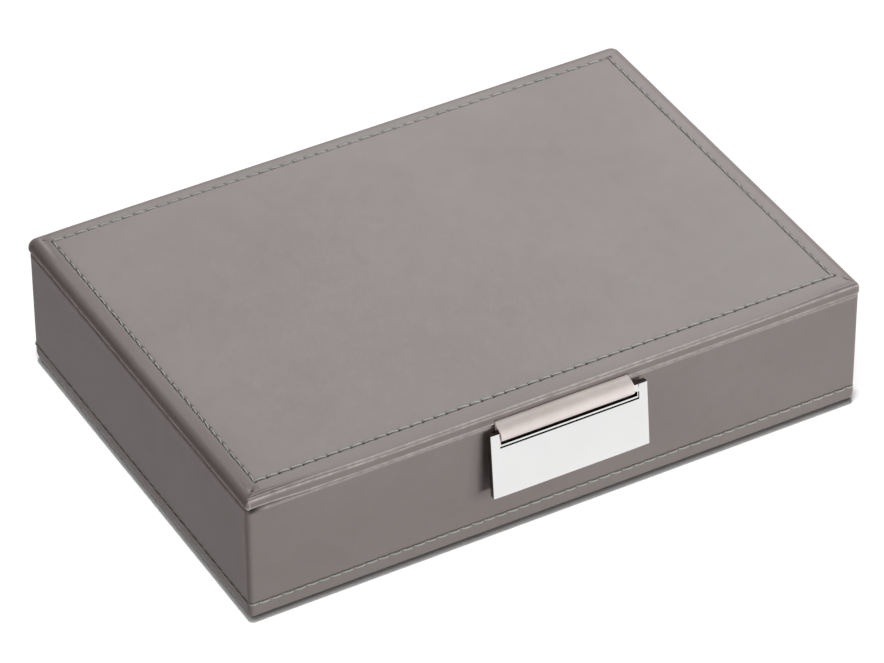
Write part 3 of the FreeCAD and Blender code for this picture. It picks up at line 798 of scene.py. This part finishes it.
r_mid = 1.32 + 0.225
arc = [(AX_Y + r_mid * math.cos(t), AX_Z + r_mid * math.sin(t)) for t in np.radians(np.arange(96, 372, 8))]
line = [(-50.7, 37.03), (-56.0, 37.03), (-60.8, 37.02), (-61.8, 36.98), (-62.5, 36.82), (-63.15, 36.45)] + arc + [(-62.92, 35.35), (-62.75, 36.1), (-62.4, 36.62), (-61.7, 36.80), (-60.6, 36.82), (-56.5, 36.84)]
mid = relax(path_points(line, 0.24), 4)
tan = np.gradient(mid, axis=0)
tan /= np.linalg.norm(tan, axis=1)[:, None]
nor = np.stack([-tan[:, 1], tan[:, 0]], 1)
thick = np.interp(np.arange(len(mid)), [0, len(mid) * 0.30, len(mid) * 0.42, len(mid) * 0.8, len(mid) - 1], [0.15, 0.17, 0.225, 0.2, 0.07])
loop = np.concatenate([mid - nor * thick[:, None], (mid + nor * thick[:, None])[::-1]])
n_l = len(loop)
tx = np.concatenate([[-1, -0.996, -0.986, -0.97], np.linspace(-0.95, 0.95, 61), [0.97, 0.986, 0.996, 1]]) * TAB_HX
tv, tw = [], []
centre_yz = np.repeat(mid, 1, axis=0)
both = np.concatenate([mid, mid[::-1]])
for xx in tx:
    e = abs(xx) / TAB_HX
    shrink = 0.55 if e > 0.999 else (0.86 if e > 0.995 else 1.0)
    yz = both + (loop - both) * shrink
    p = np.stack([np.full(n_l, xx), yz[:, 0], yz[:, 1]], 1)
    out_of_lid = smooth(-62.4, -63.6, p[:, 1])
    wv = wobble(p, 7.5, 4.4) * 0.045 * out_of_lid
    # The cut edges flare out a touch where the strip turns over the bar.
    p[:, 0] += np.sign(xx) * smooth(0.9, 1.0, e) * 0.10 * out_of_lid * (p[:, 2] > 34.2)
    p[:, 1] -= wv * 0.6
    p[:, 2] += wv * 0.3 * (p[:, 1] > -64.8) - (p[:, 0] - PLATE_SHIFT) * ASKEW * out_of_lid
    tv.append(p)
    # The cut edges at both ends are paled, partly as a painted edge highlight.
    tw.append(np.full(n_l, 0.85 * float(smooth(0.975, 0.995, e))))
tf = []
for i in range(len(tx) - 1):
    tf += ring_faces(i * n_l, (i + 1) * n_l, n_l)
m_ = len(mid)
for base_, flip in ((0, 1), ((len(tx) - 1) * n_l, -1)):
    for i in range(m_ - 1):
        q = [base_ + i, base_ + i + 1, base_ + n_l - 2 - i, base_ + n_l - 1 - i]
        tf.append(q[::flip])
tab = mesh_object("pull_tab_leather", np.concatenate(tv), tf, {"wear_and_painted_highlight": np.concatenate(tw)})
sharpen(tab, 50)
finish_piece(tab, CREAM, "lid", "cream_leather", "pull_tab")

# --------------------------------------------------------------- pull plate


def plate_mesh():
    """A frame 0.35 thick in front of one 1.65 thick whose slot is a little
    smaller, so a bright lip shows inside the slot."""
    w, h, t, lip_t = 45.8, 19.2, 2.0, 1.65
    top = 1.1
    sw, s1, s0 = 20.35, top - 2.2, top - 4.45
    lw, l0 = sw - 0.35, s0 + 0.7
    xs = sorted(set([-w / 2, w / 2, -w / 2 + 0.9, w / 2 - 0.9, -sw, sw, -lw, lw] + list(np.linspace(-19, 19, 31))))
    zs = sorted(set([s0, s1, l0, top] + list(np.linspace(top - h, s0 - 0.6, 12))))
    bm = bmesh.new()
    layers = []
    for y_ in (-t / 2, t / 2 - lip_t, t / 2):
        layers.append([[bm.verts.new((x_, y_, z_)) for z_ in zs] for x_ in xs])

    def solid(k, i, j):
        if not (0 <= i < len(xs) - 1 and 0 <= j < len(zs) - 1 and 0 <= k < 2):
            return False
        cx, cz = (xs[i] + xs[i + 1]) / 2, (zs[j] + zs[j + 1]) / 2
        hx, hz = (sw, s0) if k == 0 else (lw, l0)
        return not (abs(cx) < hx and hz < cz < s1)

    for i in range(len(xs) - 1):
        for j in range(len(zs) - 1):
            for k in range(3):
                if solid(k - 1, i, j) != solid(k, i, j):
                    q = [layers[k][i][j], layers[k][i + 1][j], layers[k][i + 1][j + 1], layers[k][i][j + 1]]
                    bm.faces.new(q)
    for k in range(2):
        for i in range(len(xs)):
            for j in range(len(zs) - 1):
                if solid(k, i - 1, j) != solid(k, i, j):
                    bm.faces.new([layers[k][i][j], layers[k + 1][i][j], layers[k + 1][i][j + 1], layers[k][i][j + 1]])
        for i in range(len(xs) - 1):
            for j in range(len(zs)):
                if solid(k, i, j - 1) != solid(k, i, j):
                    bm.faces.new([layers[k][i][j], layers[k + 1][i][j], layers[k + 1][i + 1][j], layers[k][i + 1][j]])
    bmesh.ops.delete(bm, geom=[v_ for v_ in bm.verts if not v_.link_faces], context="VERTS")
    bmesh.ops.recalc_face_normals(bm, faces=bm.faces)
    sharp = [e_ for e_ in bm.edges if len(e_.link_faces) == 2 and e_.calc_face_angle(0) > math.radians(50)]
    bar = [e_ for e_ in sharp if abs(e_.verts[0].co.x - e_.verts[1].co.x) > 1e-4 and all(abs(v_.co.x) < sw + 0.01 and v_.co.z > s1 - 0.01 for v_ in e_.verts)]
    rest = [e_ for e_ in sharp if e_ not in bar]
    slot_edge = [e_ for e_ in rest if all(abs(v_.co.z - s0) < 1e-4 and v_.co.y < -t / 2 + 1e-4 and abs(v_.co.x) < sw - 0.2 for v_ in e_.verts)]
    lip_edge = [e_ for e_ in rest if all(abs(v_.co.y - (t / 2 - lip_t)) < 1e-4 for v_ in e_.verts)]
    bmesh.ops.bevel(bm, geom=[e_ for e_ in rest if e_ not in slot_edge and e_ not in lip_edge], offset=0.10, segments=2, affect="EDGES", profile=0.5, clamp_overlap=True)
    slot_edge = [e_ for e_ in bm.edges if len(e_.link_faces) == 2 and e_.calc_face_angle(0) > math.radians(50)
                 and all(abs(v_.co.z - s0) < 1e-3 and v_.co.y < -t / 2 + 1e-3 and abs(v_.co.x) < sw - 0.05 for v_ in e_.verts)]
    bmesh.ops.bevel(bm, geom=slot_edge, offset=0.22, segments=4, affect="EDGES", profile=0.5, clamp_overlap=True)
    for v_ in bm.verts:
        # the bar that the tab wraps is rounded; the polished face falls away at its ends
        if abs(v_.co.x) < 19.7 and v_.co.z > s1 - 0.3:
            r_ = math.hypot(v_.co.y, v_.co.z)
            if r_ > 1.24:
                v_.co.y *= 1.24 / r_
                v_.co.z *= 1.24 / r_
        e_ = abs(v_.co.x) / (w / 2)
        if v_.co.y < 0:
            v_.co.y += 0.15 * e_ ** 9 + 0.02 * abs((v_.co.z + 8.4) / 9.5) ** 4
    bmesh.ops.rotate(bm, verts=bm.verts, cent=(0, 0, 0), matrix=Matrix.Rotation(TILT, 3, (-1, 0, 0)))
    for v_ in bm.verts:
        v_.co += Vector((PLATE_SHIFT + v_.co.z * ASKEW, AX_Y, AX_Z - v_.co.x * ASKEW))
        v_.co *= 0.001
    bm.normal_update()
    bm.faces.ensure_lookup_table()
    face_n = Vector((0, -math.cos(TILT), -math.sin(TILT)))
    low = Vector((0, math.cos(TILT), math.sin(TILT))) * 0.001
    # Which faces get the painted shade and dark reflection: side faces fully, the slot lip a little.
    edge = []
    for f_ in bm.faces:
        c_ = f_.calc_center_median() - Vector((PLATE_SHIFT, AX_Y, AX_Z)) * 0.001
        c_.z += c_.x * ASKEW
        lip_face = abs(c_.x) < 0.0204 and -0.0033 < c_.z < -0.0011 and c_.dot(low.normalized()) > -0.0009
        edge.append(1.0 if abs(f_.normal.dot(face_n)) < 0.3 else 0.22 if lip_face else 0.0)
    me = bpy.data.meshes.new("pull_plate_metal")
    bm.to_mesh(me)
    bm.free()
    me.attributes.new("edge", "FLOAT", "FACE").data.foreach_set("value", edge)
    me.polygons.foreach_set("use_smooth", [True] * len(me.polygons))
    ob = bpy.data.objects.new("pull_plate_metal", me)
    scene.collection.objects.link(ob)
    return ob


plate = plate_mesh()
sharpen(plate, 45)
finish_piece(plate, NICKEL, "pull", "polished_nickel", "pull_plate")

# -------------------------------------------------------------- velvet parts
IX, IY, DECK = 84.5, 57.0, 5.4
DIV, DIV_TOP = 2.2, 33.0
col_w = (2 * IX - 4 * DIV) / 5
row_d = (2 * IY - 2 * DIV) / 3
cross_x = [-IX + (i + 1) * col_w + (i + 0.5) * DIV for i in range(4)]
long_y = [-IY + (i + 1) * row_d + (i + 0.5) * DIV for i in range(2)]
LAP = (DECK + DIV_TOP) / 2


def strip_mesh(name, half, notches, cut_top, horizontal, where, node):
    """A divider: velvet over card, rounded along its top, notched at the laps."""
    r = DIV / 2
    stations = set(np.linspace(-half, half, int(half / 0.9)))
    for n_ in notches:
        for o in (-1.16, -1.15, 1.15, 1.16):
            stations.add(n_ + o)
    for o in (0.05, 0.2, 0.45):
        stations |= {half - o, -half + o}
    stations = sorted(stations)
    vs = []
    for s_ in stations:
        inside = any(abs(s_ - n_) <= 1.1551 for n_ in notches)
        hi, lo = DIV_TOP, DECK + 0.02
        end = min(half - abs(s_), 0.5)
        pinch = 1 - 0.35 * (1 - end / 0.5) ** 2
        if inside and cut_top:
            hi = LAP - 0.03
        if inside and not cut_top:
            lo = LAP + 0.03
        rr = r * pinch
        tops = []
        ang = np.radians([0, 18, 36, 54, 72, 90, 108, 126, 144, 162, 180])
        rise = rr if not (inside and cut_top) else 0.12
        for a_ in ang:
            tops.append((rr * math.cos(a_), hi - rise + rise * math.sin(a_)))
        zs_ = np.linspace(hi - rise, lo, 9)[1:]
        ring = tops + [(-rr, z_) for z_ in zs_] + [(rr, z_) for z_ in zs_[::-1]]
        vs.append([(s_, a_, z_) for a_, z_ in ring])
    n_ = len(vs[0])
    P_ = np.array(vs).reshape(-1, 3)
    W_ = wobble(P_, 5.5, 6.0) * 0.05 + wobble(P_, 1.7, 2.0) * 0.022
    P_[:, 1] += np.sign(P_[:, 1]) * (W_ - 0.04) * (np.abs(P_[:, 1]) > 0.3)
    if horizontal:
        P_ = np.stack([P_[:, 0], P_[:, 1] + where, P_[:, 2]], 1)
    else:
        P_ = np.stack([-P_[:, 1] + where, P_[:, 0], P_[:, 2]], 1)
    fs = []
    for i in range(len(stations) - 1):
        fs += ring_faces(i * n_, (i + 1) * n_, n_)
    fs.append(list(range(n_))[::-1])
    fs.append(list(range((len(stations) - 1) * n_, len(stations) * n_)))
    ob = mesh_object(name, P_, fs)
    sharpen(ob, 60)
    return finish_piece(ob, VELVET, "base", "velvet", node)


for nm, y_ in zip(("front", "rear"), long_y):
    strip_mesh("velvet_divider_long_" + nm, IX - 0.1, cross_x, True, True, y_, "divider_long_" + nm)
for i, x_ in enumerate(cross_x):
    strip_mesh("velvet_divider_cross_%d" % (i + 1), IY - 0.1, long_y, False, False, x_, "divider_cross_%d" % (i + 1))


def slab(name, x0, x1, y0, y1, z0, z1, top_fn, edge, step, material, body, slot, node, corner=0.6, bottom_flat=True, seed=0.0, fuzz=0.03, flip=False):
    """A soft sheet: flat below, rounded at its edges, its upper face shaped by
    top_fn(x, y). flip turns it over, so the shaped face is underneath."""
    def lines(a, b):
        inner = np.linspace(a + edge, b - edge, max(3, int((b - a) / step)))
        t = edge * (1 - np.cos(np.radians([0, 22, 45, 67]))) / 1.0
        return np.array(sorted(set(list(a + t) + list(inner) + list(b - t))))
    xs, ys = lines(x0, x1), lines(y0, y1)
    gx_, gy_ = np.meshgrid(xs, ys, indexing="ij")
    dx = np.minimum(gx_ - x0, x1 - gx_)
    dy = np.minimum(gy_ - y0, y1 - gy_)
    d_ = np.minimum(dx, dy)
    drop = edge * (1 - np.sqrt(np.clip(1 - (1 - np.clip(d_ / edge, 0, 1)) ** 2, 0, 1)))
    p = np.stack([gx_.ravel(), gy_.ravel(), np.zeros(gx_.size)], 1)
    top = z1 - drop.ravel() * min(1.0, (z1 - z0) * 0.6 / edge) + top_fn(p[:, 0], p[:, 1]) + fuzz * (wobble(p, 2.1, seed) - 1)
    top = np.clip(top, z0 + 0.08, z1)
    if flip:
        top = z1 + z0 - top
    up = np.stack([p[:, 0], p[:, 1], top], 1)
    lowz = z0 if not flip else z1
    lo = np.stack([p[:, 0], p[:, 1], np.full(len(p), lowz)], 1)
    nx_, ny_ = len(xs), len(ys)
    ii_, jj_ = np.meshgrid(np.arange(nx_ - 1), np.arange(ny_ - 1), indexing="ij")
    a_ = (ii_ * ny_ + jj_).ravel()
    fs = np.stack([a_, a_ + ny_, a_ + ny_ + 1, a_ + 1], 1).tolist()
    rim = [i * ny_ for i in range(nx_)] + [(nx_ - 1) * ny_ + j for j in range(1, ny_)] + \
          [i * ny_ + ny_ - 1 for i in range(nx_ - 2, -1, -1)] + [j for j in range(ny_ - 2, 0, -1)]
    low = lo[rim]
    off = len(up)
    for i in range(len(rim)):
        j = (i + 1) % len(rim)
        fs.append([rim[i], off + i, off + j, rim[j]])
    fs.append(list(range(off, off + len(rim))))
    ob = mesh_object(name, np.concatenate([up, low]), fs)
    sharpen(ob, 60)
    return finish_piece(ob, material, body, slot, node)


def cells(x_, y_):
    """The floor velvet is pressed down under the dividers and along the walls."""
    v_ = np.zeros(len(x_))
    for c in cross_x + [-IX, IX]:
        v_ -= 0.22 * gauss(x_ - c, 1.5)
    for c in long_y + [-IY, IY]:
        v_ -= 0.22 * gauss(y_ - c, 1.5)
    return v_


slab("velvet_floor", -86.05, 86.05, -58.55, 58.55, 3.9, DECK, cells, 0.5, 1.15, VELVET, "base", "velvet", "floor_lining", seed=1.0)


def wall_lining(name, along_x, sign, node):
    """A velvet-covered card standing on the floor, thicker below the turned-down leather."""
    half = 86.05 if along_x else 56.95
    inner = IY if along_x else IX
    stations = sorted(set(list(np.linspace(-half, half, int(half / 1.1))) + [half - 0.1, -half + 0.1, half - 0.35, -half + 0.35]))
    prof = []
    thin, thick_ = 0.98, 1.58
    for z_ in np.linspace(DECK + 0.02, 31.7, 14):
        prof.append((0.0, z_))
    for t in np.radians([15, 35, 55, 75, 90]):
        prof.append((0.45 - 0.45 * math.cos(t), 31.95 + 0.45 * math.sin(t)))
    prof += [(0.8, 32.36), (thin, 32.15), (thin, 24.0), (thin, 23.92), (thick_, 23.9), (thick_, 15.0), (thick_, DECK + 0.02)]
    vs = []
    for s_ in stations:
        for d_, z_ in prof:
            vs.append((s_, d_, z_))
    P_ = np.array(vs)
    mask = P_[:, 1] < 0.5
    W_ = (wobble(P_, 6.0, 9.0) * 0.05 + wobble(P_, 1.9, 3.0) * 0.02 + 0.07)
    P_[:, 1] += np.where(mask, W_, 0)
    s_, d_, z_ = P_.T
    P_ = np.stack([s_, sign * (inner + d_), z_], 1) if along_x else np.stack([sign * (inner + d_), s_, z_], 1)
    n_ = len(prof)
    fs = []
    for i in range(len(stations) - 1):
        fs += ring_faces(i * n_, (i + 1) * n_, n_)
    fs.append(list(range(n_)))
    fs.append(list(range((len(stations) - 1) * n_, len(stations) * n_))[::-1])
    ob = mesh_object(name, P_, fs)
    sharpen(ob, 60)
    return finish_piece(ob, VELVET, "base", "velvet", node)


wall_lining("velvet_wall_front", True, -1, "front_wall_lining")
wall_lining("velvet_wall_rear", True, 1, "rear_wall_lining")
wall_lining("velvet_wall_left", False, -1, "left_wall_lining")
wall_lining("velvet_wall_right", False, 1, "right_wall_lining")

LX, LY = 83.7, 56.2


def crown(x_, y_):
    """Padding: fullest in the middle, falling away to the edges."""
    e = np.minimum(np.minimum(LX - np.abs(x_), LY - np.abs(y_)), 22.0) / 22.0
    return -0.75 * (1 - np.clip(e, 0, 1)) ** 2.2


liner = slab("velvet_lid_liner", -LX, LX, -LY, LY, 34.82, LID_Z - 0.01, crown, 0.9, 1.5, VELVET, "lid", "velvet", "lid_liner", seed=4.0, flip=True)

# The felt under the base.
felt = slab("felt_pad", -87.0, 87.0, -59.5, 59.5, 0.0, 0.79, lambda x_, y_: -0.02 * (1 + np.sin(x_ * 0.9) * np.sin(y_ * 1.1)), 0.3, 1.6, FELT, "base", "felt",
            "base_felt_pad", seed=6.0, fuzz=0.03, flip=True)

# ---------------------------------------------------- CAD nodes that stay
for n_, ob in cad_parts.items():
    if "hinge" in n_:
        mat = STEEL
    elif n_ == "lid_foam":
        mat = FOAM
    elif "board" in n_:
        mat = BOARD
    else:
        continue
    ob.data.materials.clear()
    ob.data.materials.append(mat)
    ob.data.polygons.foreach_set("use_smooth", [True] * len(ob.data.polygons))
    try:
        ob.data.set_sharp_from_angle(angle=math.radians(35))
    except AttributeError:
        pass

# ------------------------------------------------------------------- camera
cam_data = bpy.data.cameras.new("camera")
cam_data.sensor_width = 36.0
cam_data.lens = 5302 / 884 * 36
cam_data.clip_start, cam_data.clip_end = 0.05, 60
cam = bpy.data.objects.new("camera", cam_data)
scene.collection.objects.link(cam)
right = Vector((0.87187, -0.48972, -0.00498))
up = Vector((0.30438, 0.53388, 0.78888))
fwd = Vector((0.38367, 0.68931, -0.61453))
cam.matrix_world = Matrix(((right.x, up.x, -fwd.x, -0.53446), (right.y, up.y, -fwd.y, -0.96070),
                           (right.z, up.z, -fwd.z, 0.87279), (0, 0, 0, 1)))
scene.camera = cam

# ------------------------------------------------------------ floor, backdrop


def stage_material(name, colour, emit=0.0, one_sided=False):
    m = bpy.data.materials.new(name)
    m.use_nodes = True
    nt = m.node_tree
    nt.nodes.clear()
    out = nt.nodes.new("ShaderNodeOutputMaterial")
    if emit:
        sh = nt.nodes.new("ShaderNodeEmission")
        sh.inputs[0].default_value = (*colour, 1)
        sh.inputs[1].default_value = emit
    else:
        sh = nt.nodes.new("ShaderNodeBsdfDiffuse")
        sh.inputs[0].default_value = (*colour, 1)
    if one_sided:
        geo = nt.nodes.new("ShaderNodeNewGeometry")
        tr = nt.nodes.new("ShaderNodeBsdfTransparent")
        mx = nt.nodes.new("ShaderNodeMixShader")
        nt.links.new(geo.outputs["Backfacing"], mx.inputs[0])
        nt.links.new(sh.outputs[0], mx.inputs[1])
        nt.links.new(tr.outputs[0], mx.inputs[2])
        sh = mx
    nt.links.new(sh.outputs[0], out.inputs[0])
    return m


me = bpy.data.meshes.new("floor")
nseg = 96
fr = 9.0
me.from_pydata([(fr * math.cos(2 * math.pi * i / nseg), fr * math.sin(2 * math.pi * i / nseg), 0) for i in range(nseg)], [], [list(range(nseg))])
floor = bpy.data.objects.new("floor", me)
me.materials.append(stage_material("floor_white", (0.93, 0.93, 0.93), one_sided=True))
scene.collection.objects.link(floor)
floor.visible_diffuse = False
floor.visible_shadow = False

bm = bmesh.new()
bmesh.ops.create_uvsphere(bm, u_segments=64, v_segments=32, radius=11.0)
bmesh.ops.reverse_faces(bm, faces=bm.faces)
me = bpy.data.meshes.new("backdrop")
bm.to_mesh(me)
bm.free()
backdrop = bpy.data.objects.new("backdrop", me)
me.materials.append(stage_material("backdrop_white", (1, 1, 1), emit=1.0))
scene.collection.objects.link(backdrop)
for ray in ("diffuse", "glossy", "transmission", "volume_scatter", "shadow"):
    setattr(backdrop, "visible_" + ray, False)

# -------------------------------------------------------------------- lights
world = bpy.data.worlds.new("world")
scene.world = world
world.use_nodes = True
nt = world.node_tree
nt.nodes.clear()
wo = nt.nodes.new("ShaderNodeOutputWorld")
bg = nt.nodes.new("ShaderNodeBackground")
tc = nt.nodes.new("ShaderNodeTexCoord")
sp = nt.nodes.new("ShaderNodeSeparateXYZ")
rp = nt.nodes.new("ShaderNodeValToRGB")
mp = nt.nodes.new("ShaderNodeMapRange")
mp.inputs[1].default_value, mp.inputs[2].default_value = -1, 1
nt.links.new(tc.outputs["Generated"], sp.inputs[0])
nt.links.new(sp.outputs[2], mp.inputs[0])
nt.links.new(mp.outputs[0], rp.inputs[0])
nt.links.new(rp.outputs[0], bg.inputs[0])
nt.links.new(bg.outputs[0], wo.inputs[0])
WORLD_LOW, WORLD_UP = (0.08, 0.079, 0.079), (0.05, 0.05, 0.05)
e = rp.color_ramp.elements
e[0].position, e[0].color = 0.48, (*WORLD_LOW, 1)
e[1].position, e[1].color = 0.52, (*WORLD_UP, 1)


def linked(name, keep):
    c = bpy.data.collections.new(name)
    for ob in keep:
        c.objects.link(ob)
    return c


# The studio lights fall on the box only and the two suns on the floor only,
# which keeps the floor as evenly pale as in the picture.
box = [o for o in bpy.data.objects if o.type == "MESH" and o not in (floor, backdrop)]
on_box = linked("light_on_box", box)
on_leather = linked("light_on_leather", [o for o in box if o is not plate])
on_floor = linked("light_on_floor", [floor])


def area(name, loc, target, size, power, receivers):
    l = bpy.data.lights.new(name, "AREA")
    l.shape = "RECTANGLE"
    l.size, l.size_y = size
    l.energy = power
    o = bpy.data.objects.new(name, l)
    o.location = loc
    o.rotation_mode = "QUATERNION"
    o.rotation_quaternion = (Vector(target) - Vector(loc)).to_track_quat("-Z", "Y")
    scene.collection.objects.link(o)
    o.light_linking.receiver_collection = receivers
    return o


def sun(name, direction, degrees, power, blockers):
    l = bpy.data.lights.new(name, "SUN")
    l.energy = power
    l.angle = math.radians(degrees)
    o = bpy.data.objects.new(name, l)
    o.rotation_mode = "QUATERNION"
    o.rotation_quaternion = Vector(direction).to_track_quat("-Z", "Y")
    scene.collection.objects.link(o)
    o.light_linking.receiver_collection = on_floor
    o.light_linking.blocker_collection = blockers
    return o


area("key", (0.80, 0.55, 0.90), (0, 0, 0.03), (0.55, 0.55), 7.9, on_box)
area("back_sheen", (0.75, 1.40, 1.20), (0, 0, 0.03), (1.0, 0.9), 19.8, on_box)
area("back_near", (0.12, 0.50, 0.50), (0, 0, 0.03), (0.4, 0.3), 0.5, on_box)
area("front_fill", (0.75, -1.1, 0.55), (0, 0, 0.02), (0.9, 0.7), 8.6, on_leather)
area("front_low", (0.35, -1.3, 0.12), (0, 0, 0.02), (0.6, 0.25), 9.4, on_leather)
left_fill = area("left_fill", (-1.2, -0.3, 0.5), (0, 0, 0.02), (0.7, 0.7), 3.9, on_box)
left_fill.data.color = (1.0, 0.87, 0.905)
blocks = linked("box_blocks", [base_cover, lid_cover, felt])
sun("floor_even", (0.055, 0.065, -1), 6, 2.5, blocks)
sun("floor_contact", (0.325, 0.325, -1), 40, 1.15, blocks)
